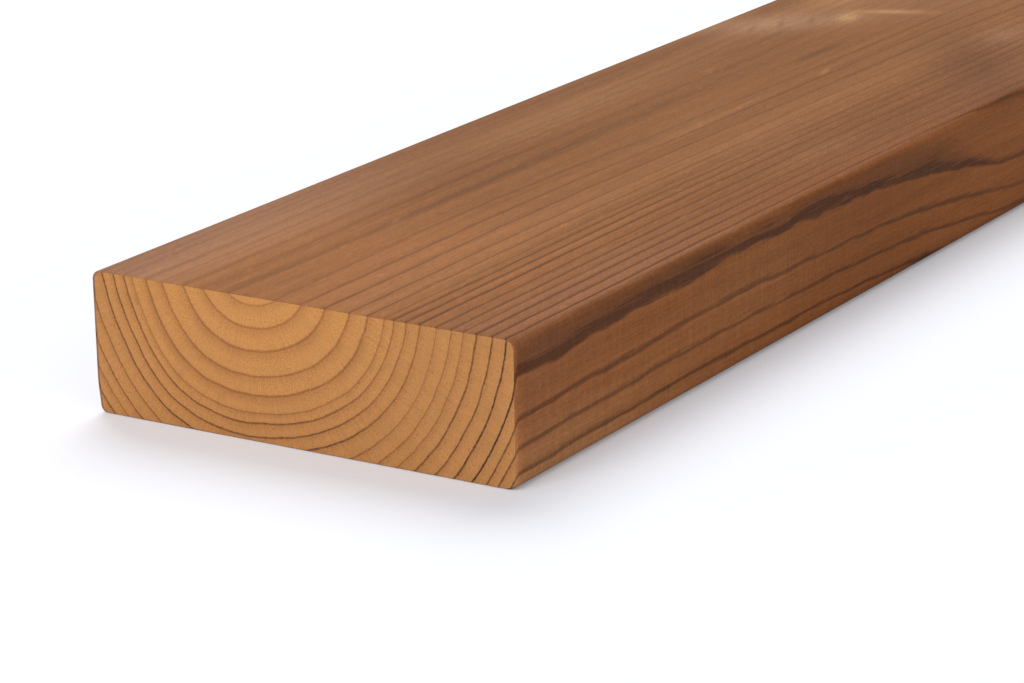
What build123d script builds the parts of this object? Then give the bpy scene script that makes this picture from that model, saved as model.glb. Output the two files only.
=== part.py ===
from build123d import *
import os

# Heat-treated pine board: one length of planed softwood, sold as raw stock.
#
# The board lies flat. X runs along the grain, Y across the face and Z up through the thickness.
# The origin is the middle of the lower face, so the board rests on the plane Z = 0.
# The whole board is one solid, because it was sawn and planed from one log.

# Sizes of the stock, in millimetres
board_length = 2400.0
board_width = 140.0
board_thickness = 42.0

# Rounding that the planer's cutters leave on the four long arrises
upper_arris_radius = 2.8
lower_arris_radius = 3.6
lean_arris_radius = 2.2

# One edge isn't quite square: near the lower face it leans inwards, where the cutter ran off
lean_height = 9.5
lean_depth = 0.9

half_width = board_width / 2
start_end = Plane.YZ.offset(-board_length / 2)

with BuildPart() as board:
    # The section across the grain, drawn on the plane of the first sawn end
    with BuildSketch(start_end) as section:
        with BuildLine():
            Polyline(
                (-half_width, 0),
                (half_width - lean_depth, 0),
                (half_width, lean_height),
                (half_width, board_thickness),
                (-half_width, board_thickness),
                close=True,
            )
        make_face()

        # The two upper arrises are alike, and each lower one was rounded on its own
        upper_corners = section.vertices().group_by(Axis.Y)[-1]
        fillet(upper_corners, upper_arris_radius)
        square_corner = section.vertices().group_by(Axis.Y)[0].sort_by(Axis.X)[0]
        fillet(square_corner, lower_arris_radius)
        lean_corner = section.vertices().group_by(Axis.Y)[0].sort_by(Axis.X)[-1]
        fillet(lean_corner, lean_arris_radius)

    # Both ends are sawn square, with crisp edges
    extrude(amount=board_length)

board.part.label = "board"

os.makedirs("parts", exist_ok=True)
export_step(board.part, "parts/board.step")

print("board", board.part.bounding_box().size, "volume in litres", board.part.volume / 1e6)
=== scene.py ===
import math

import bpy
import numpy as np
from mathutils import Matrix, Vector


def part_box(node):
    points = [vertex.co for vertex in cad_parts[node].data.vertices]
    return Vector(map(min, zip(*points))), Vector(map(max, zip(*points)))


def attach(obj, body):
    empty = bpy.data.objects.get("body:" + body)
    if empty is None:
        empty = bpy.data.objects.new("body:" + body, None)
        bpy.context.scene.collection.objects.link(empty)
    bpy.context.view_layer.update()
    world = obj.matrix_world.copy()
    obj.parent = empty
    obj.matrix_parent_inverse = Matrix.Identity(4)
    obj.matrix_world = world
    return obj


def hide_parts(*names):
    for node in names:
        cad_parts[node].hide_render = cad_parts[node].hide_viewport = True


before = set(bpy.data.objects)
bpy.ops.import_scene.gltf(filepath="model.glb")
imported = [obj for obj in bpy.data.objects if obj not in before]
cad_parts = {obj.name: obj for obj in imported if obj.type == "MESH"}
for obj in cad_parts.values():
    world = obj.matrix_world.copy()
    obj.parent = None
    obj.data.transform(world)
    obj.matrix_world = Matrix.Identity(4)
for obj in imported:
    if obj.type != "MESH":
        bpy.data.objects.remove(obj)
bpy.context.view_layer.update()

# %% [markdown]
# A board of heat-treated pine
#
# The object is one length of planed softwood, 42 by 140 mm in section. Its shape is plain: what makes
# it look like wood is its growth. A tree lays one cone of wood over the last each year, round a pith
# that wanders a little, and the saw and the planer only lay that growth open. So this lesson doesn't
# paint a grain on each face. It works out one growth field that fills the whole board, and every face
# shows where it cuts that field: arcs on the sawn ends, lines on the upper face, long bands on the edges.

low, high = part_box("board")
length = high[0] - low[0]
width = high[1] - low[1]
thickness = high[2] - low[2]
near_end = low[0]
mm = 0.001
print(f"board {length:.3f} x {width:.3f} x {thickness:.3f} m")

# %% [markdown]
# The section across the grain
#
# The planer rounds the four long arrises, and near the lower face one edge leans inwards, where the
# cutter ran off. The outline could be a rectangle with a Bevel modifier, but then all four arrises
# would be alike and the lean would be lost. Here the outline is worked out corner by corner: each
# corner has a radius, and its arc touches the two straight runs beside it.

# %% Outline of the section
upper_arris = 2.8 * mm
lower_arris = 3.6 * mm
lean_arris = 2.2 * mm
lean_blend = 30 * mm
lean_height = 9.5 * mm
lean_depth = 0.9 * mm

# Each corner: its place across the board, its height and its radius, anticlockwise seen from the far end
corners = np.array([
    [-width / 2, 0, lower_arris],
    [width / 2 - lean_depth, 0, lean_arris],
    [width / 2, lean_height, lean_blend],
    [width / 2, thickness, upper_arris],
    [-width / 2, thickness, upper_arris],
])


def section_outline(corners, arc_steps, spacing):
    """The closed outline as an array of points.

    At a corner where the outline turns by an angle a, an arc of radius r touches both sides at
    r * tan(a / 2) from the corner. The straight run to the next arc is divided evenly.
    """
    points = corners[:, :2]
    radii = corners[:, 2]
    arrive = points - np.roll(points, 1, axis=0)
    arrive /= np.linalg.norm(arrive, axis=1, keepdims=True)
    leave = np.roll(arrive, -1, axis=0)
    turn = np.arccos(np.clip((arrive * leave).sum(1), -1, 1))
    reach = radii * np.tan(turn / 2)
    inward = np.stack([-arrive[:, 1], arrive[:, 0]], 1)
    first = points - arrive * reach[:, None]
    centre = first + inward * radii[:, None]
    runs = []
    for i, angle in enumerate(turn):
        sweep = np.linspace(0, angle, arc_steps + 1)[:, None]
        runs.append(centre[i] - inward[i] * radii[i] * np.cos(sweep) + arrive[i] * radii[i] * np.sin(sweep))
        after = (i + 1) % len(points)
        start = points[i] + leave[i] * reach[i]
        stop = points[after] - leave[i] * reach[after]
        steps = max(int(np.linalg.norm(stop - start) / spacing), 2)
        runs.append(start + (stop - start) * np.linspace(0, 1, steps + 1)[1:-1, None])
    return np.concatenate(runs)


outline = section_outline(corners, 6, 2.8 * mm)
step = np.linalg.norm(np.roll(outline, -1, axis=0) - outline, axis=1)
girth = step.sum()
print(f"{len(outline)} points round the section, {girth / mm:.1f} mm round")

# %% [markdown]
# Where the pith runs
#
# The pith of this log runs 8 to 13 mm above the upper face and wanders sideways by a few millimetres.
# The end shows the rings' centre, and the distance between ring lines on the upper face gives its
# height further along. Stations along the board hold its place, and a growth factor that widens the
# rings towards the foot of the tree. A cubic through the stations makes the run smooth. It could be a
# spline object, but the shader needs the values at every point, so the mesh carries them as an attribute.

# %% Stations along the pith
# Distance from the near end, place across the board, height, growth factor; the first three in millimetres
pith_stations = np.array([
    [0, 15.0, 52.4, 1.002],
    [50, 15.6, 53.0, 1.006],
    [100, 16.4, 53.3, 1.011],
    [150, 16.3, 52.6, 1.008],
    [200, 15.5, 51.5, 0.998],
    [250, 14.8, 51.0, 0.995],
    [300, 14.0, 50.6, 0.999],
    [400, 13.8, 50.2, 1.008],
    [560, 12.5, 52.6, 1.020],
    [760, 14.5, 54.5, 1.030],
    [980, 18.0, 52.0, 1.040],
    [1200, 19.5, 50.0, 1.045],
    [1450, 16.0, 52.5, 1.060],
    [1700, 12.0, 55.0, 1.070],
    [1950, 13.5, 52.0, 1.080],
    [2200, 17.0, 50.5, 1.090],
    [2400, 18.5, 52.0, 1.095],
])


def through(stations, x):
    """A smooth run through stations: in each span the cubic with the ends' values and slopes.

    With t from 0 to 1 in a span w wide, the cubic is (1 + 2t)(1 - t)^2 a + t (1 - t)^2 w da
    + t^2 (3 - 2t) b + t^2 (t - 1) w db.
    """
    place = stations[:, 0]
    value = stations[:, 1:]
    slope = np.gradient(value, place, axis=0)
    i = np.clip(np.searchsorted(place, x) - 1, 0, len(place) - 2)
    w = (place[i + 1] - place[i])[:, None]
    t = (x - place[i])[:, None] / w
    return (
        (1 + 2 * t) * (1 - t) ** 2 * value[i]
        + t * (1 - t) ** 2 * w * slope[i]
        + t**2 * (3 - 2 * t) * value[i + 1]
        + t**2 * (t - 1) * w * slope[i + 1]
    )


print("pith at the near end, mm:", through(pith_stations, np.array([0.0]))[0])

# %% [markdown]
# The skin of the board
#
# The outline is carried along the board as one closed grid. A row of the grid is the outline at one
# station, and its scale about the section's middle says where the row lies: 1 on the long faces, a
# little less at the fine chamfer that the saw's edge leaves, and down to 0 at the middle of each end.
# Rows are closer together towards the two ends than in between.

# %% Rows along the board
chamfer = 0.3 * mm
caps = 12
long_rows = 320
crowding = 0.06
cap_scale = np.linspace(1, 0, caps + 1)[:-1] * (1 - 2 * chamfer / thickness)
t = np.linspace(0, 1, long_rows)
along = (length - 2 * chamfer) * (t - crowding * np.sin(2 * np.pi * t)) + chamfer
row_x = np.concatenate([np.zeros(caps), along, np.full(caps, length)])
row_scale = np.concatenate([cap_scale[::-1], np.ones(len(along)), cap_scale])
print(len(row_x), "rows,", len(row_x) * len(outline) * 2, "triangles")

# %% Carry the outline along the rows
wave_depth = 0.06 * mm


def board_points(row_x, row_scale, outline):
    """Every point of the skin, row by row.

    A point is the section's middle plus the row's scale times the way from the middle to the
    outline. On the long faces it then goes inwards by up to 0.12 mm in slow waves, as planed
    softwood does when it dries, so no point lies outside the sawn size.
    """
    middle = np.array([0, thickness / 2])
    across = middle + row_scale[:, None, None] * (outline - middle)[None]
    x = np.broadcast_to(row_x[:, None], across.shape[:2])
    around = np.cumsum(step)[None] / girth * 2 * np.pi
    wave = np.sin(3 * around + 9 * x) + np.sin(5 * around - 4 * x + 1) + np.sin(23 * x + 2 * around)
    inward = wave_depth * (1 + wave / 3) * (row_scale[:, None] == 1)
    pull = (middle - across) / np.array([width / 2, thickness / 2])
    across = across + pull * inward[..., None]
    return np.concatenate([x[..., None] + near_end, across], axis=2)


grid = board_points(row_x, row_scale, outline)
rows, around = grid.shape[:2]
poles = np.array([[near_end, 0, thickness / 2], [near_end + length, 0, thickness / 2]])
points = np.concatenate([grid.reshape(-1, 3), poles])

i, j = np.meshgrid(np.arange(rows - 1), np.arange(around), indexing="ij")
j_next = (j + 1) % around
quads = np.stack([i * around + j, (i + 1) * around + j, (i + 1) * around + j_next, i * around + j_next], -1)
quads = quads.reshape(-1, 4)[:, ::-1]
k = np.arange(around)
k_next = (k + 1) % around
last_row = (rows - 1) * around
near_fan = np.stack([np.full(around, rows * around), k_next, k], -1)
far_fan = np.stack([np.full(around, rows * around + 1), last_row + k, last_row + k_next], -1)
print(len(quads), "quads and", 2 * around, "triangles")

# %% Put the arrays into a mesh
mesh = bpy.data.meshes.new("board_skin")
loops = np.concatenate([quads.ravel(), near_fan.ravel(), far_fan.ravel()])
sizes = np.concatenate([np.full(len(quads), 4), np.full(2 * around, 3)])
mesh.vertices.add(len(points))
mesh.vertices.foreach_set("co", points.ravel())
mesh.loops.add(len(loops))
mesh.loops.foreach_set("vertex_index", loops.astype(np.int32))
mesh.polygons.add(len(sizes))
mesh.polygons.foreach_set("loop_start", np.concatenate([[0], np.cumsum(sizes)[:-1]]).astype(np.int32))
mesh.update(calc_edges=True)
mesh.validate()
board = bpy.data.objects.new("planed_board", mesh)
bpy.context.scene.collection.objects.link(board)
print("closed skin with", len(mesh.polygons), "faces")

# %% Which faces are sawn ends
row_of_face = np.concatenate([i.ravel(), np.zeros(around, int), np.full(around, rows - 1)])
is_near = row_of_face < caps - 1
is_far = row_of_face > rows - caps - 1
is_end = is_near | is_far
mesh.polygons.foreach_set("material_index", is_end.astype(np.int32))
mesh.polygons.foreach_set("use_smooth", np.ones(len(sizes), bool))
print(is_end.sum(), "faces on the sawn ends")

# %% Sharp edges where the saw cut
edge_ends = np.empty(len(mesh.edges) * 2, np.int32)
mesh.edges.foreach_get("vertices", edge_ends)
edge_rows = np.minimum(edge_ends, rows * around - 1).reshape(-1, 2) // around
on_cut = (edge_rows[:, 0] == edge_rows[:, 1]) & np.isin(edge_rows[:, 0], [caps - 1, rows - caps])
sharp = mesh.attributes.new("sharp_edge", "BOOLEAN", "EDGE")
sharp.data.foreach_set("value", on_cut)
print(on_cut.sum(), "sharp edges")

# %% [markdown]
# An unwrapping of its own
#
# The grain runs along the board, and its lines are half a millimetre wide across it and hundreds long.
# So in the texture the long faces are one strip, with most of the texture's height for the way round
# the board, and the two ends lie side by side below it at almost their true shape.

# %% Texture coordinates
texture_side = 1024
strip_low = 0.145
end_share = 0.47
gap = 0.006

# The last quad of a row closes the way round, so there column 0 counts as the whole girth
column = loops % around
quad_column = column[: len(quads) * 4].reshape(-1, 4)
crossing = (quad_column == 0).any(1) & (quad_column == around - 1).any(1)
closing = np.zeros(len(loops), bool)
closing[: len(quads) * 4] = (crossing[:, None] & (quad_column == 0)).ravel()
travelled = np.concatenate([[0], np.cumsum(step)])
round_share = travelled[np.where(closing, around, column)] / girth

# Each end is centred on its own half of the texture's width
place = points[loops]
strip_u = gap + (place[:, 0] - near_end) / length * (1 - 2 * gap)
strip_v = strip_low + round_share * (1 - gap - strip_low)
end_scale = end_share / width
end_u = np.where(place[:, 0] < 0, 0.25 - place[:, 1] * end_scale, 0.75 + place[:, 1] * end_scale)
end_v = gap + place[:, 2] * (strip_low - 4 * gap) / thickness
loop_is_end = np.repeat(is_end, sizes)
uv = np.where(loop_is_end[:, None], np.stack([end_u, end_v], 1), np.stack([strip_u, strip_v], 1))
layer = mesh.uv_layers.new(name="OFBake")
layer.data.foreach_set("uv", uv.ravel())
print("texture rows for the long faces:", round(texture_side * (1 - gap - strip_low)))

# %% The pith's run as an attribute
pith_at_rows = through(pith_stations, row_x / mm)
pith_values = np.concatenate([np.repeat(pith_at_rows, around, axis=0), pith_at_rows[[0, -1]]])
pith_attribute = mesh.attributes.new("pith", "FLOAT_VECTOR", "POINT")
pith_attribute.data.foreach_set("vector", pith_values.ravel())
print("pith attribute on", len(pith_values), "points")

# %% [markdown]
# Shader arithmetic
#
# The growth field is a formula, and a formula reads best as one. The class below wraps a node socket,
# so that adding or multiplying two of them adds a Math node. Everything else comes from one method that
# makes a node from its type, its settings and the values or links of its sockets.

# %% A number on a surface


class Number:
    """One number at each point of a surface. Arithmetic on it adds Math nodes."""

    def __init__(self, recipe, socket):
        self.recipe = recipe
        self.socket = socket

    def math(self, operation, *others):
        values = dict(enumerate((self, *others)))
        made = self.recipe.node("ShaderNodeMath", {"operation": operation}, values)
        return Number(self.recipe, made.outputs[0])

    def __add__(self, other):
        return self.math("ADD", other)

    def __radd__(self, other):
        return self.math("ADD", other)

    def __sub__(self, other):
        return self.math("SUBTRACT", other)

    def __rsub__(self, other):
        made = self.recipe.node("ShaderNodeMath", {"operation": "SUBTRACT"}, {0: other, 1: self})
        return Number(self.recipe, made.outputs[0])

    def __mul__(self, other):
        return self.math("MULTIPLY", other)

    def __rmul__(self, other):
        return self.math("MULTIPLY", other)

    def __truediv__(self, other):
        return self.math("DIVIDE", other)

    def __pow__(self, other):
        return self.math("POWER", other)

    def __neg__(self):
        return self.math("MULTIPLY", -1)

    def ramp(self, start, stop, shape="LINEAR"):
        """0 up to start, 1 from stop on, and a straight rise between. start may also be the larger."""
        settings = {"clamp": True, "interpolation_type": shape}
        values = {"Value": self, "From Min": start, "From Max": stop}
        made = self.recipe.node("ShaderNodeMapRange", settings, values)
        return Number(self.recipe, made.outputs[0])

    def ease(self, start, stop):
        """As ramp, with a soft start and stop."""
        return self.ramp(start, stop, "SMOOTHSTEP")


# %% A recipe for a material


class Recipe:
    """A material's nodes. Each method adds nodes and returns a Number or a socket."""

    def __init__(self, name):
        self.material = bpy.data.materials.new(name)
        self.material.use_nodes = True
        self.tree = self.material.node_tree
        self.tree.nodes.clear()

    def node(self, kind, settings=None, values=None):
        """One node: its settings first, then its sockets' values or links. stops fill a colour ramp."""
        made = self.tree.nodes.new(kind)
        for name, value in (settings or {}).items():
            if name == "stops":
                self.fill_ramp(made.color_ramp, value)
            else:
                setattr(made, name, value)
        for name, value in (values or {}).items():
            value = value.socket if isinstance(value, Number) else value
            if isinstance(value, bpy.types.NodeSocket):
                self.tree.links.new(value, made.inputs[name])
            else:
                made.inputs[name].default_value = value
        return made

    def fill_ramp(self, ramp, stops):
        """Puts (position, colour) pairs into a colour ramp."""
        for position, _ in stops[2:]:
            ramp.elements.new(position)
        for element, (position, colour) in zip(ramp.elements, stops):
            element.position = position
            element.color = (*colour, 1)

    def vector(self, operation, *values):
        made = self.node("ShaderNodeVectorMath", {"operation": operation}, dict(enumerate(values)))
        return made.outputs["Vector"]

    def dot(self, first, second):
        made = self.node("ShaderNodeVectorMath", {"operation": "DOT_PRODUCT"}, {0: first, 1: second})
        return Number(self, made.outputs["Value"])

    def parts(self, vector):
        """A vector's three numbers."""
        made = self.node("ShaderNodeSeparateXYZ", None, {0: vector})
        return [Number(self, socket) for socket in made.outputs]

    def join(self, x, y, z):
        return self.node("ShaderNodeCombineXYZ", None, {0: x, 1: y, 2: z}).outputs[0]

    def noise(self, vector, detail, roughness=0.5):
        """Soft noise round 0.5, one wave per unit of vector. Detail adds octaves of finer waves."""
        values = {"Vector": vector, "Scale": 1.0, "Detail": detail, "Roughness": roughness}
        made = self.node("ShaderNodeTexNoise", {"noise_dimensions": "3D"}, values)
        return Number(self, made.outputs["Fac"])

    def fibres(self, place, along, across, detail, roughness=0.5):
        """Noise drawn out with the grain: waves per millimetre along the board, and across it."""
        return self.noise(self.vector("MULTIPLY", place, (along, across, across)), detail, roughness)

    def blend(self, factor, first, second):
        """The first colour turning into the second as factor goes from 0 to 1."""
        settings = {"data_type": "RGBA", "blend_type": "MIX", "clamp_factor": True}
        return self.node("ShaderNodeMix", settings, {0: factor, 6: first, 7: second}).outputs[2]


# %% [markdown]
# Growth rings
#
# The rings of this board were read from its sawn end, from the pith outwards: the radius at which each
# year ended, in millimetres, and how dark that year's latewood is. Wide pale years come first, and one
# very dark year lies near the -Y edge. A colour ramp over the radius turns these into a running count
# of years, and the count's fraction is how far through its year a point was grown.

# %% Years, from the pith outwards
# Each: the radius in mm at which the year ended, and how dark its latewood is
years = [
    (6.6, 0.20), (13.0, 0.28), (19.5, 0.38), (26.2, 0.42), (33.6, 0.44), (39.3, 0.48), (44.6, 0.34),
    (47.5, 0.58), (51.4, 0.62), (55.6, 0.66), (60.9, 0.50), (65.5, 0.58), (69.4, 0.42), (73.3, 0.62),
    (78.1, 0.64), (82.5, 0.76), (87.2, 1.00), (90.6, 0.64), (93.7, 0.64), (97.0, 0.72), (100.0, 0.60),
    (106.0, 0.60),
]
last_radius = years[-1][0]

# Stops of the colour ramp: the count of years, the darkness, and the year's width in cm
year_stops = [(0.0, (0.0, 0.2, 0.66))]
for n, (radius, dark) in enumerate(years):
    before = years[n - 1][0] if n else 0
    year_stops.append((radius / last_radius, ((n + 1) / len(years), dark, (radius - before) / 10)))
print(len(years), "years")

# %% The growth field, in shader arithmetic
lobe_size = 0.9
lobe_turn = math.radians(32)
tightening = 0.00085
print("lobes of the trunk in mm:", lobe_size)


def growth(recipe):
    """When each point of the wood was grown, as a dictionary of Numbers, knots aside.

    The age is a radius in mm: the distance from the pith, less four shallow lobes of the trunk, with
    the side towards +Y grown tighter, divided by the growth factor. Three noises, from slow to fine,
    make it uneven, the slow one more so past 350 mm.
    """
    metres = recipe.node("ShaderNodeTexCoord").outputs["Object"]
    place = recipe.vector("MULTIPLY_ADD", metres, (1000, 1000, 1000), (-near_end / mm, 0, 0))
    x, y, z = recipe.parts(place)
    pith = recipe.node("ShaderNodeAttribute", {"attribute_name": "pith"}).outputs["Vector"]
    pith_y, pith_z, factor = recipe.parts(pith)
    right = pith_y - y
    up = z - pith_z
    far = (right * right + up * up).math("SQRT")
    angle = up.math("ARCTAN2", right)
    lobes = lobe_size * far.ramp(12, 45) * (1 - 0.75 * far.ramp(56, 70))
    lobes = lobes * ((angle + lobe_turn) * 4).math("COSINE")
    tight = (-right / far).ease(0.45, 0.95)
    age = (far - lobes + tightening * far * far * tight) / factor

    slow = recipe.fibres(place, 0.012, 0.05, 1.0)
    quick = recipe.fibres(place, 0.06, 0.12, 1.0)
    fine = recipe.fibres(place, 0.08, 1.0, 1.0)
    age = age + (slow - 0.5) * (0.4 + 2.0 * x.ramp(350, 700))
    age = age + (quick - 0.5) * 0.8 + (fine - 0.5) * 0.35
    return {"place": place, "x": x, "y": y, "z": z, "angle": angle, "far": far, "quick": quick, "age": age}


# %% [markdown]
# Knots
#
# A knot is the foot of a branch. It starts at the pith and widens outwards, so in this board it shows
# as a round knot on the lower face, as a long spike on the upper face, which lies near the pith, and as
# an oval on the edges. Branches grow in whorls, one a year, 0.4 m or so apart. Each knot here is a line
# from the pith with a widening, and the wood round it swells where the trunk grew round the branch.

# %% Knots of the five whorls
# Each: start along the board in mm, direction round the pith in degrees (0 towards -Y, -90 down), lean
# along the board per unit outwards, widening, swelling in mm, its reach in mm, and tone (dark above 0)
knots = [
    (498, -24, -1.50, 0.16, 2.7, 40, 0.5),
    (423, -154, -1.50, 0.20, 4.0, 20, -0.3),
    (468, -78, -0.90, 0.16, 5.0, 24, 0.6),
    (842, -42, -0.75, 0.14, 5.0, 22, 0.7),
    (850, -118, -0.85, 0.17, 6.0, 26, 0.9),
    (1236, -14, -0.70, 0.15, 5.0, 24, 0.6),
    (1228, -88, -0.80, 0.19, 7.0, 28, 0.8),
    (1240, -172, -1.10, 0.18, 4.0, 20, 0.3),
    (1668, -60, -0.85, 0.16, 6.0, 24, 0.9),
    (1660, -140, -0.75, 0.13, 5.0, 20, 0.5),
    (2082, -22, -0.80, 0.16, 6.0, 26, 0.8),
    (2090, -100, -0.90, 0.15, 5.0, 22, 0.6),
    (2078, -166, -1.20, 0.16, 4.0, 20, 0.4),
]
print(len(knots), "knots")

# %% Knots in the growth field
knot_blend = 2.0
print("wood and branches blend over mm:", knot_blend)


def grow_knots(recipe, wood, knots):
    """Grows the trunk round its branches, and adds what the knots' colours need to the dictionary.

    Round each knot the age is lowered, because the trunk swelled there. A branch has its own age:
    the distance from its axis over its widening, made uneven by noise, plus a fifth of the way out,
    and steeply more behind the pith. The smooth smallest of all the ages, -k ln(sum of exp(-age / k)),
    is the new one. "branch" is the nearest branch's age and "knot" its share in that sum.
    """
    place = wood["place"]
    inside = wood["age"].ramp(6, 34)
    uneven = 0.7 + 0.6 * wood["quick"]
    swollen = 0
    branches = 0
    tones = 0
    for start, direction, lean, widening, swelling, reach, tone in knots:
        pith_y, pith_z, _ = through(pith_stations, np.array([float(start)]))[0]
        direction = math.radians(direction)
        way = np.array([lean, -math.cos(direction), math.sin(direction)])
        way /= np.linalg.norm(way)
        offset = recipe.vector("SUBTRACT", place, (start, pith_y, pith_z))
        out = recipe.dot(offset, tuple(way))
        aside = (recipe.dot(offset, offset) - out * out).math("MAXIMUM", 0)
        swell = (aside * (-0.5 / reach**2)).math("EXPONENT") * out.ramp(-5, 25) * inside
        branch = out.math("ABSOLUTE") * 0.2 + aside.math("SQRT") * uneven / widening
        branch = branch + (-out).math("MAXIMUM", 0) * 3
        share = (branch / -knot_blend).math("EXPONENT")
        swollen = swell * swelling + swollen
        branches = share + branches
        tones = share * tone + tones
    age = wood["age"] - swollen
    branches = branches.math("MAXIMUM", 1e-30)
    total = (age / -knot_blend).math("EXPONENT") + branches
    wood["age"] = total.math("LOGARITHM", math.e) * -knot_blend
    wood["branch"] = branches.math("LOGARITHM", math.e) * -knot_blend
    wood["knot"] = branches / total
    wood["tone"] = tones / branches
    wood["near_knot"] = (wood["branch"] - age).ease(24, 0)


# %% [markdown]
# Earlywood and latewood
#
# Within a year the wood starts pale and soft, darkens over the last millimetre or two and stops at a
# line. The darker the year, the thicker its latewood. Distances to the line are in millimetres, so a
# wide year has no thicker line than a narrow one. One colour ramp gives the count of years in red, the
# year's darkness in green and its width in centimetres in blue.

# %% How near the year's line is


def year_line(recipe, wood):
    """The year's darkness, and the distances in mm before and after the line that ends a year."""
    stops = {"stops": year_stops}
    counted = recipe.node("ShaderNodeValToRGB", stops, {0: wood["age"] / last_radius}).outputs["Color"]
    made = recipe.node("ShaderNodeSeparateColor", None, {0: counted})
    count, dark, wide = [Number(recipe, socket) for socket in made.outputs]
    through_year = (count * len(years)).math("FRACT")
    return dark, (1 - through_year) * wide * 10, through_year * wide * 10


# %% [markdown]
# The planed faces
#
# Heat turns pine an even, warm brown. On top of the years lie the fibres, about a hundred times longer
# than wide, paler and darker streaks a few millimetres wide, and on the edges the fine ripple that each
# cut of the planer leaves. The noise is drawn out along the board for the fibres. Image textures could
# show them too, but would repeat along 2.4 m and wouldn't agree with the ends.

# %% Colours of the planed faces
# Earlywood by the radius in mm at which it grew, from the pith outwards
early_planed = [
    (0, (0.340, 0.139, 0.050)),
    (22, (0.350, 0.143, 0.052)),
    (34, (0.377, 0.159, 0.060)),
    (45, (0.350, 0.142, 0.050)),
    (65, (0.317, 0.123, 0.041)),
    (88, (0.322, 0.109, 0.032)),
    (99, (0.388, 0.134, 0.040)),
]
late_planed = (0.112, 0.040, 0.016, 1)
# Paler, greyer wood, also the colour of the painted sheen along the +Y side
faded_wood_and_sheen = (0.400, 0.210, 0.125, 1)
# Pale wood for scrapes and flecks, also painted light from the floor low on the -Y edge
pale_mark_and_floor_light = (0.640, 0.340, 0.150, 1)
pink_mark = (0.540, 0.290, 0.165, 1)
dark_mark = (0.100, 0.042, 0.021, 1)
knot_dark = (0.135, 0.040, 0.014, 1)
knot_pale = (0.500, 0.255, 0.155, 1)
knot_rim = (0.040, 0.014, 0.008, 1)
print(len(early_planed), "stops of earlywood")

# %% Patterns of the planed faces
# How much each pattern changes the shade, how deep it is in mm, and the way between two cuts in mm
fibre_shade = 0.60
streak_shade = 0.45
patch_shade = 0.22
grain_shade = 0.30
speck_shade = 0.50
fibre_relief = 0.06
speck_relief = 0.04
ripple_relief = 0.02
cut_pitch = 1.4
print("cuts of the planer on 100 mm:", round(100 / cut_pitch))

# %% Latewood on the planed faces


def planed_latewood(wood, fibre, edge, inner, dark, before, after):
    """How much latewood there is at each point, from 0 to 1.

    It rises over about a millimetre before the year's line and falls off behind it over less, and a
    faint foot a few millimetres wide lies before it. Towards the +Y edge the line is wider, and fainter
    as a painted sheen.
    On the -Y edge it is slim from 0.1 to 0.25 m, where the very dark year runs along it as a band.
    """
    x, age = wood["x"], wood["age"]
    # Towards +Y the lines widen, and fade as a painted sheen
    toward = (-wood["angle"].math("COSINE")).ease(0.45, 0.95) * (1 - 0.8 * edge)
    very_dark = dark.ramp(0.8, 1.0)
    past_42 = age.ease(42, 50)
    slim = 1 - 0.35 * edge * x.ease(85, 140) * x.ease(260, 225)
    dense = (0.55 + 0.45 * inner + (0.30 + 0.20 * inner) * dark * dark) * slim
    core = (before + (fibre - 0.5) * (0.9 + dark * dark)) / dense
    rising = (1 - core.ease(0.15, 1.0)) * (1 - (0.6 + 0.25 * past_42) * toward)
    falling = 1 - after.ease(0.0, 0.35 + 0.2 * inner + 2.2 * toward)
    falling = falling * (1 - (0.4 + 0.3 * past_42) * toward)
    foot = (1 - before / (3.0 + 2.0 * toward + 1.5 * very_dark)).math("MAXIMUM", 0) ** 1.2
    foot = foot * ((0.18 + 0.26 * inner + 0.68 * very_dark) * slim)
    late = (rising.math("MAXIMUM", falling) + foot) * dark
    late = late * (1 + 1.4 * (fibre - 0.5)) * (1 + 0.16 * edge * inner)
    return late.math("MINIMUM", 1) * (1 - 0.30 * very_dark * fibre.ease(0.50, 0.68))
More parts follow.
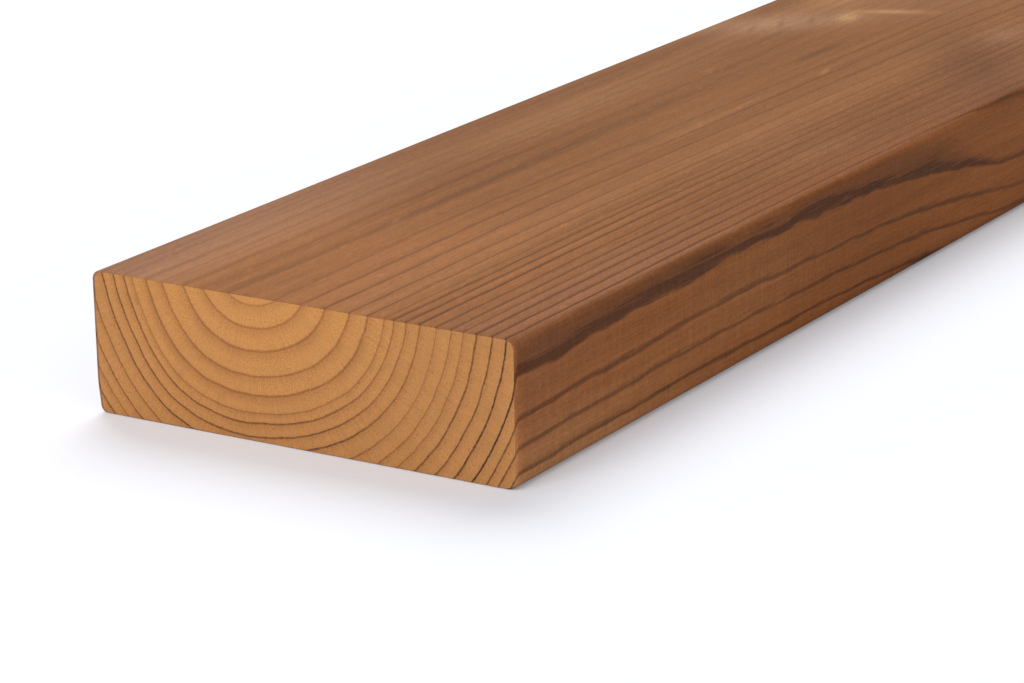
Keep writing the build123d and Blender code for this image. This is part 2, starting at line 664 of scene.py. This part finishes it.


# %% [markdown]
# Marks on the planed faces
#
# Between the lines of the years the eye finds small things first: dark streaks and clouds where resin
# has soaked in, pale scrapes and torn grain where the planer lifted the fibres, and pinkish wood beside
# a knot. Three pale ones, low on the -Y edge near the near end, are painted light from the floor. Each
# mark here is a soft ellipsoid of colour inside the wood, strongest at its middle, so one that lies at
# an arris shows on both faces. A painted picture could hold them, but for one face only.

# %% Marks that the eye catches
# Each: middle in mm (from the near end, across, height), turn in degrees, half length, half width and
# depth in mm, strength, and the kind of mark
marks = [
    ((345, -42, 42), 32, 60, 16, 8, 0.36, "dark"),
    ((337, 14, 42), 0, 17, 2.2, 5, 0.40, "dark"),
    ((150, 23.2, 42), 0, 150, 2.4, 6, 0.26, "dark"),
    ((15, 24.5, 42), 0, 32, 3, 6, 0.18, "dark"),
    ((130, 38, 42), 0, 50, 13, 6, 0.22, "dark"),
    ((115, 5, 42), 0, 32, 25, 6, 0.12, "dark"),
    ((270, -56, 42), 0, 45, 16, 6, 0.12, "dark"),
    ((40, -69.5, 42), 0, 75, 1.6, 1.6, 0.40, "dark"),
    ((309, -69.8, 41.5), 0, 17, 1.4, 1.0, 0.75, "dark"),
    ((361, 53, 42), 14, 7, 1.1, 4, 0.25, "dark"),
    ((372, 47, 42), 22, 9, 1.2, 4, 0.30, "dark"),
    ((382, 40, 42), 20, 7, 1.1, 4, 0.25, "dark"),
    ((720, -20, 42), 2, 26, 2.0, 5, 0.45, "dark"),
    ((1420, 38, 42), -3, 20, 1.8, 5, 0.40, "dark"),
    ((1010, 30, 0), 2, 24, 2.0, 5, 0.45, "dark"),
    ((1875, -25, 0), -2, 30, 2.4, 5, 0.40, "dark"),
    ((222, 47, 42), 0, 55, 8, 6, 0.22, "pale"),
    ((225, 4, 42), 0, 40, 6, 6, 0.13, "pale"),
    ((214, -48, 42), 0, 26, 5, 6, 0.12, "pale"),
    # The next three, low on the -Y edge and its lower arris near the near end, are painted light from the
    # floor
    ((20, -70, 8), 0, 55, 6, 8, 0.20, "pale"),
    ((90, -70, 14), 0, 60, 6, 16, 0.07, "pale"),
    ((10, -69, 2), 0, 75, 4, 3, 0.30, "pale"),
    ((140, -70, 25), 0, 35, 8, 13, 0.08, "pale"),
    ((312, -1, 42), 10, 5, 1.0, 4, 0.40, "pale"),
    ((84, 23, 42), 14, 3, 0.7, 4, 0.28, "pale"),
    ((393, 31, 42), 12, 8, 4, 5, 0.95, "pale"),
    ((409, 20, 42), -66, 12, 3.4, 5, 0.72, "pale"),
    ((420, 45, 42), 0, 24, 14, 6, 0.36, "pale"),
    ((372, 49, 42), -40, 31, 13, 7, 0.75, "pink"),
    ((391, -31, 42), 0, 16, 8, 6, 0.35, "pink"),
]
print(len(marks), "marks")

# %% Where the marks lie


def marked(recipe, place):
    """How strong each kind of mark is at each point: strength * exp(-distance^2), summed.

    The distance is measured in each mark's own frame, in half lengths, half widths and depths.
    """
    totals = {"pale": 0, "pink": 0, "dark": 0}
    for middle, turn, half_length, half_width, depth, strength, kind in marks:
        values = {
            "Vector": place,
            "Location": middle,
            "Rotation": (0, 0, math.radians(turn)),
            "Scale": (half_length, half_width, depth),
        }
        framed = recipe.node("ShaderNodeMapping", {"vector_type": "TEXTURE"}, values).outputs[0]
        totals[kind] = (-recipe.dot(framed, framed)).math("EXPONENT") * strength + totals[kind]
    return totals


# %% Material of the planed faces


def planed_faces():
    """The material of the long faces.

    In ramp and ease, x is in mm from the near end, y in mm across the board, and age in mm of growth.
    """
    recipe = Recipe("planed_heat_treated_pine")
    wood = growth(recipe)
    grow_knots(recipe, wood, knots)
    place, x, y, z = wood["place"], wood["x"], wood["y"], wood["z"]
    dark, before, after = year_line(recipe, wood)
    fibre = recipe.fibres(place, 0.03, 2.0, 3.0, 0.6)
    streak = recipe.fibres(place, 0.006, 0.30, 2.0)
    grain = recipe.fibres(place, 0.14, 2.4, 1.0)
    fleck = recipe.fibres(place, 0.16, 0.90, 0.0)
    patch = recipe.fibres(place, 0.004, 0.015, 1.0)
    speck = recipe.noise(recipe.join(x * 0.30 + y * 0.14, y * 1.5 - x * 0.65, z * 1.3), 3.0, 0.75)
    chatter = recipe.fibres(place, 0.7, 0.05, 1.0)
    split = recipe.fibres(place, 0.10, 0.16, 2.0)

    # From 0.1 to 0.9 m the years inside the very dark one are fainter, and more so past the first few
    edge = y.math("ABSOLUTE").ease(68.0, 69.5)
    inner = 1 - wood["age"].ramp(80, 86)
    dark = dark * (1.05 - 0.10 * inner)
    calm = 0.20 + 0.24 * wood["age"].ramp(25, 40)
    dark = dark * (1 - calm * x.ease(70, 240) * x.ease(900, 500) * inner)
    dark = dark * (1 - 0.3 * edge * x.ease(265, 310) * x.ease(650, 450))
    late = planed_latewood(wood, fibre, edge, inner, dark, before, after)

    # The patterns, then how the shade runs along the board and drops at its near -Y corner
    shade = 1 + (fibre - 0.5) * fibre_shade + (streak - 0.5) * streak_shade
    shade = shade + (patch - 0.5) * patch_shade + (grain - 0.5) * grain_shade
    shade = shade + (speck - 0.5) * (speck_shade + 0.25 * y.ease(0, -50))
    shade = shade + (chatter - 0.5) * (0.06 + (0.08 + 0.14 * x.ease(280, 120)) * edge)
    shade = shade * (1 - 0.225 * x.ease(30, 210) * x.ease(1000, 500))
    shade = shade * (1 + edge * (0.12 * x.ease(220, 270) * x.ease(700, 450) - 0.02))
    corner = y.ease(-38, -60) * x.ease(210, 50) * (1 - edge)
    shade = shade * (1 - 0.13 * corner)

    # Earlywood by its age, paler and greyer in patches, at the near -Y corner and on the edges near the
    # near end, with a painted sheen along the +Y side that is strongest at the near end
    stops = {"stops": [(radius / last_radius, colour) for radius, colour in early_planed]}
    early = recipe.node("ShaderNodeValToRGB", stops, {0: wood["age"] / last_radius}).outputs["Color"]
    fade_and_sheen = y.ease(28, 66) * (0.4 + 0.9 * x.ease(220, 20)) + patch.ease(0.55, 0.75) * (0.4 - 0.3 * edge)
    fade_and_sheen = fade_and_sheen + corner * 0.45 + edge * x.ease(70, 5) * 0.25
    early = recipe.blend(fade_and_sheen * 0.48, early, faded_wood_and_sheen)
    colour = recipe.blend(late, early, late_planed)

    # A knot: its halo in the wood round it, its heart, and its rim and splits
    tone = recipe.blend(wood["tone"].ramp(-1, 0.6), knot_pale, knot_dark)
    halo = wood["near_knot"] * 0.45
    colour = recipe.blend(halo, colour, recipe.blend(late, tone, late_planed))
    heart = recipe.noise(recipe.join(wood["branch"] * 0.16, x * 0.01, z * 0.03), 2.0, 0.7)
    in_knot = recipe.blend(heart.ease(0.62, 0.40), tone, knot_rim)
    in_knot = recipe.blend(0.25 + wood["branch"].ease(4, 26) * 0.6, early, in_knot)
    colour = recipe.blend(wood["knot"] * 0.9, colour, recipe.blend(late * 0.6, in_knot, late_planed))
    crack = (1 - (split - 0.5).math("ABSOLUTE") / 0.014).math("MAXIMUM", 0) * wood["knot"]
    rim = (wood["knot"] * (1 - wood["knot"]) * 4).math("MINIMUM", 1) * (0.4 + speck) + crack
    colour = recipe.blend(rim * wood["tone"].ramp(0.0, 0.8) * 0.7, colour, knot_rim)

    mark = marked(recipe, place)
    # Pale marks and flecks; the pale marks low on the -Y edge near the near end are painted light from the
    # floor
    pale = mark["pale"] + fleck.ease(0.74, 0.80) * 0.16 * (1 - edge)
    colour = recipe.blend(mark["pink"], colour, pink_mark)
    colour = recipe.blend(pale * (1 - 0.6 * late), colour, pale_mark_and_floor_light)
    colour = recipe.blend(mark["dark"], colour, dark_mark)
    colour = recipe.vector("MULTIPLY", colour, recipe.join(shade, shade, shade))

    ripple = (x * (2 * math.pi / cut_pitch)).math("SINE") * edge * chatter
    height = (fibre - 0.5) * fibre_relief + ripple * ripple_relief + (speck - 0.5) * speck_relief
    bump = recipe.node("ShaderNodeBump", None, {"Strength": 1.0, "Distance": mm, "Height": height})
    shader = recipe.node("ShaderNodeBsdfPrincipled", None, {
        "Base Color": colour,
        "Roughness": 0.68 - late * 0.12 + (fibre - 0.5) * 0.12,
        "Normal": bump.outputs[0],
        "Specular IOR Level": 0.05,
    })
    recipe.node("ShaderNodeOutputMaterial", None, {"Surface": shader.outputs[0]})
    return recipe.material


planed = planed_faces()
print("planed faces:", len(planed.node_tree.nodes), "nodes")

# %% [markdown]
# The sawn ends
#
# An end shows the cut-off tubes of the fibres, so it is a matt, fine speckle, and it is paler and more
# golden than the faces. Each year ends in a thin, crisp, almost black line, and the first wood of the
# next year, whose tubes are the widest, starts a soft red-brown. Fine rays run out from the pith.

# %% Colours of the sawn ends
sawn_heart = (0.645, 0.292, 0.090, 1)
sawn_outer = (0.565, 0.254, 0.082, 1)
sawn_brown = (0.400, 0.150, 0.046, 1)
line_sawn = (0.205, 0.054, 0.019, 1)
late_sawn = (0.085, 0.036, 0.020, 1)
pore_sawn = (0.215, 0.116, 0.050, 1)
print("sawn wood at the heart and outside:", sawn_heart[:3], sawn_outer[:3])

# %% Patterns of the sawn ends
# How much each pattern changes the shade, and how deep the speckle is in mm
speckle_shade = 1.3
cloud_shade = 0.30
ray_shade = 0.25
speckle_relief = 0.14
print("speckle on the ends, mm deep:", speckle_relief)

# %% Material of the sawn ends


def sawn_ends():
    """The material of both ends, with the same growth but no knots, since none reaches an end."""
    recipe = Recipe("sawn_heat_treated_pine")
    wood = growth(recipe)
    place, age = wood["place"], wood["age"]
    dark, before, after = year_line(recipe, wood)
    speckle = recipe.fibres(place, 0.5, 1.8, 3.0, 0.8)
    bead = recipe.fibres(place, 0.2, 0.7, 2.0)
    cloud = recipe.fibres(place, 0.01, 0.07, 2.0)
    rays = recipe.noise(recipe.join(wood["angle"] * 60, wood["far"] * 0.10, 0.0), 2.0)

    # Towards the -Y edge the middle years end in a brown band instead of a dark line
    toward = wood["angle"].math("COSINE").ease(0.45, 0.85)
    dark = dark - 0.22 * toward * age.ease(45, 48) * (1 - age.ease(66, 72))
    outer = age.ease(40, 49)
    thick = 0.22 + 0.16 * dark + 0.14 * (1 - outer)
    line = (1 - (before / thick).ease(0.3, 1.0)).math("MAXIMUM", 1 - (after / thick).ease(0.5, 1.3))
    late = line * (dark * 1.10 + 0.04) * (0.45 + bead * 1.1) * (0.75 + 0.25 * outer)

    # The brown lies after the line, with a little before it, and the pores lie in clouds
    brown = (1 - after.ramp(0.2, 3.8 - 1.6 * outer)) ** 1.2 + (1 - before.ramp(0.2, 0.9)) * 0.3
    brown = brown * (1 - 0.35 * outer) * (0.12 + 0.85 * cloud) * dark.ramp(0.1, 0.4)
    low_edge = (wood["y"] + wood["z"]).ease(20, -45)
    pores = (cloud + 0.30 * low_edge).ease(0.42, 0.60)
    pores = pores + (1 - after.ramp(0.3, 2.5)) * cloud.ease(0.35, 0.60)
    pores = pores * speckle.ease(0.52, 0.66)

    shade = 1 + (speckle - 0.5) * speckle_shade + (cloud - 0.5) * cloud_shade + (rays - 0.5) * ray_shade
    colour = recipe.blend(age.ramp(20, 60), sawn_heart, sawn_outer)
    colour = recipe.blend(brown, colour, sawn_brown)
    colour = recipe.blend(pores * 0.9, colour, pore_sawn)
    ink = recipe.blend(dark.ramp(0.40, 0.75), line_sawn, late_sawn)
    colour = recipe.blend(late.math("MINIMUM", 1), colour, ink)
    colour = recipe.vector("MULTIPLY", colour, recipe.join(shade, shade, shade))
    height = (speckle - 0.5) * speckle_relief
    bump = recipe.node("ShaderNodeBump", None, {"Strength": 0.7, "Distance": mm, "Height": height})
    shader = recipe.node("ShaderNodeBsdfPrincipled", None, {
        "Base Color": colour,
        "Roughness": 0.88 - late * 0.1,
        "Normal": bump.outputs[0],
        "Specular IOR Level": 0.2,
    })
    recipe.node("ShaderNodeOutputMaterial", None, {"Surface": shader.outputs[0]})
    return recipe.material


sawn = sawn_ends()
print("sawn ends:", len(sawn.node_tree.nodes), "nodes")

# %% Finish the board
mesh.materials.append(planed)
mesh.materials.append(sawn)
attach(board, "root")
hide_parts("board")
print(board.name, "has", len(mesh.materials), "materials")

# %% [markdown]
# Floor and light
#
# The board lies on a plain white floor. The key light comes over the near end, and a second one from
# behind, over the +Y edge, so the upper face is the lightest of the long faces and the -Y edge, which
# only a weak fill reaches, is in soft shade. All are broad, so their shadows are soft. The floor looks
# whiter to the camera than it is to the light, so the background is white and the board's shadow stays.

# %% Floor
floor_half = 30.0
floor_matt = (0.79, 0.81, 0.86, 1)
floor_glow = (0.97, 0.96, 1.0, 1)
glow_strength = 0.15
floor_mesh = bpy.data.meshes.new("floor")
floor_corners = [(floor_half * x, floor_half * y, 0) for x, y in [(-1, -1), (1, -1), (1, 1), (-1, 1)]]
floor_mesh.from_pydata(floor_corners, [], [(0, 1, 2, 3)])
floor = bpy.data.objects.new("floor", floor_mesh)
bpy.context.scene.collection.objects.link(floor)


def white_floor():
    """A matt white that glows a little for the camera only, so that it sheds no light on the board."""
    recipe = Recipe("white_floor")
    path = recipe.node("ShaderNodeLightPath")
    strength = Number(recipe, path.outputs["Is Camera Ray"]) * glow_strength
    matt = recipe.node("ShaderNodeBsdfDiffuse", None, {"Color": floor_matt})
    glow = recipe.node("ShaderNodeEmission", None, {"Color": floor_glow, "Strength": strength})
    total = recipe.node("ShaderNodeAddShader", None, {0: matt.outputs[0], 1: glow.outputs[0]})
    recipe.node("ShaderNodeOutputMaterial", None, {"Surface": total.outputs[0]})
    return recipe.material


floor_mesh.materials.append(white_floor())
print("floor", 2 * floor_half, "m wide")

# %% World and lamps
sky_strength = 0.28
world = bpy.data.worlds.new("studio")
bpy.context.scene.world = world
world.use_nodes = True
background = world.node_tree.nodes["Background"]
background.inputs["Color"].default_value = (1, 1, 1, 1)
background.inputs["Strength"].default_value = sky_strength


def sun(name, toward, strength, spread):
    """A far lamp that shines along toward, with a disc spread degrees wide, for soft shadows."""
    lamp = bpy.data.lights.new(name, "SUN")
    lamp.energy = strength
    lamp.angle = math.radians(spread)
    thing = bpy.data.objects.new(name, lamp)
    back = -np.array(toward) / np.linalg.norm(toward)
    side = np.cross((0, 0, 1), back)
    side /= np.linalg.norm(side)
    turn = np.stack([side, np.cross(back, side), back], 1)
    thing.matrix_world = Matrix(turn.tolist()).to_4x4()
    bpy.context.scene.collection.objects.link(thing)


sun("key", (0.76, -0.05, -0.65), 1.27, 40)
sun("back", (-0.54, -0.34, -0.77), 1.8, 40)
sun("fill", (0.60, 0.60, -0.53), 0.60, 60)
print(len(bpy.data.lights), "lamps, sky", sky_strength)

# %% [markdown]
# Camera
#
# The camera stands in front of the near end, a little above the board and to the right of it, with a
# long lens. Its place was worked out from the board's own edges in the photograph.

# %% Camera
lens = 128.6
yaw = math.radians(31.97)
pitch = math.radians(17.32)
roll = math.radians(1.0)
camera_place = (near_end - 0.7743, -0.5519, 0.3262)

forward = np.array([math.cos(yaw) * math.cos(pitch), math.sin(yaw) * math.cos(pitch), -math.sin(pitch)])
level = np.array([math.sin(yaw), -math.cos(yaw), 0])
down = np.cross(forward, level)
right = math.cos(roll) * level + math.sin(roll) * down
up = math.sin(roll) * level - math.cos(roll) * down
camera_data = bpy.data.cameras.new("camera")
camera_data.lens = lens
camera_data.sensor_width = 36
camera = bpy.data.objects.new("camera", camera_data)
turned = Matrix(np.stack([right, up, -forward], 1).tolist()).to_4x4()
camera.matrix_world = Matrix.Translation(camera_place) @ turned
bpy.context.scene.collection.objects.link(camera)
bpy.context.scene.camera = camera
bpy.context.scene.view_settings.view_transform = "Standard"
print(f"camera {math.dist(camera_place, (near_end, 0, 0)):.2f} m from the near end, lens {lens} mm")
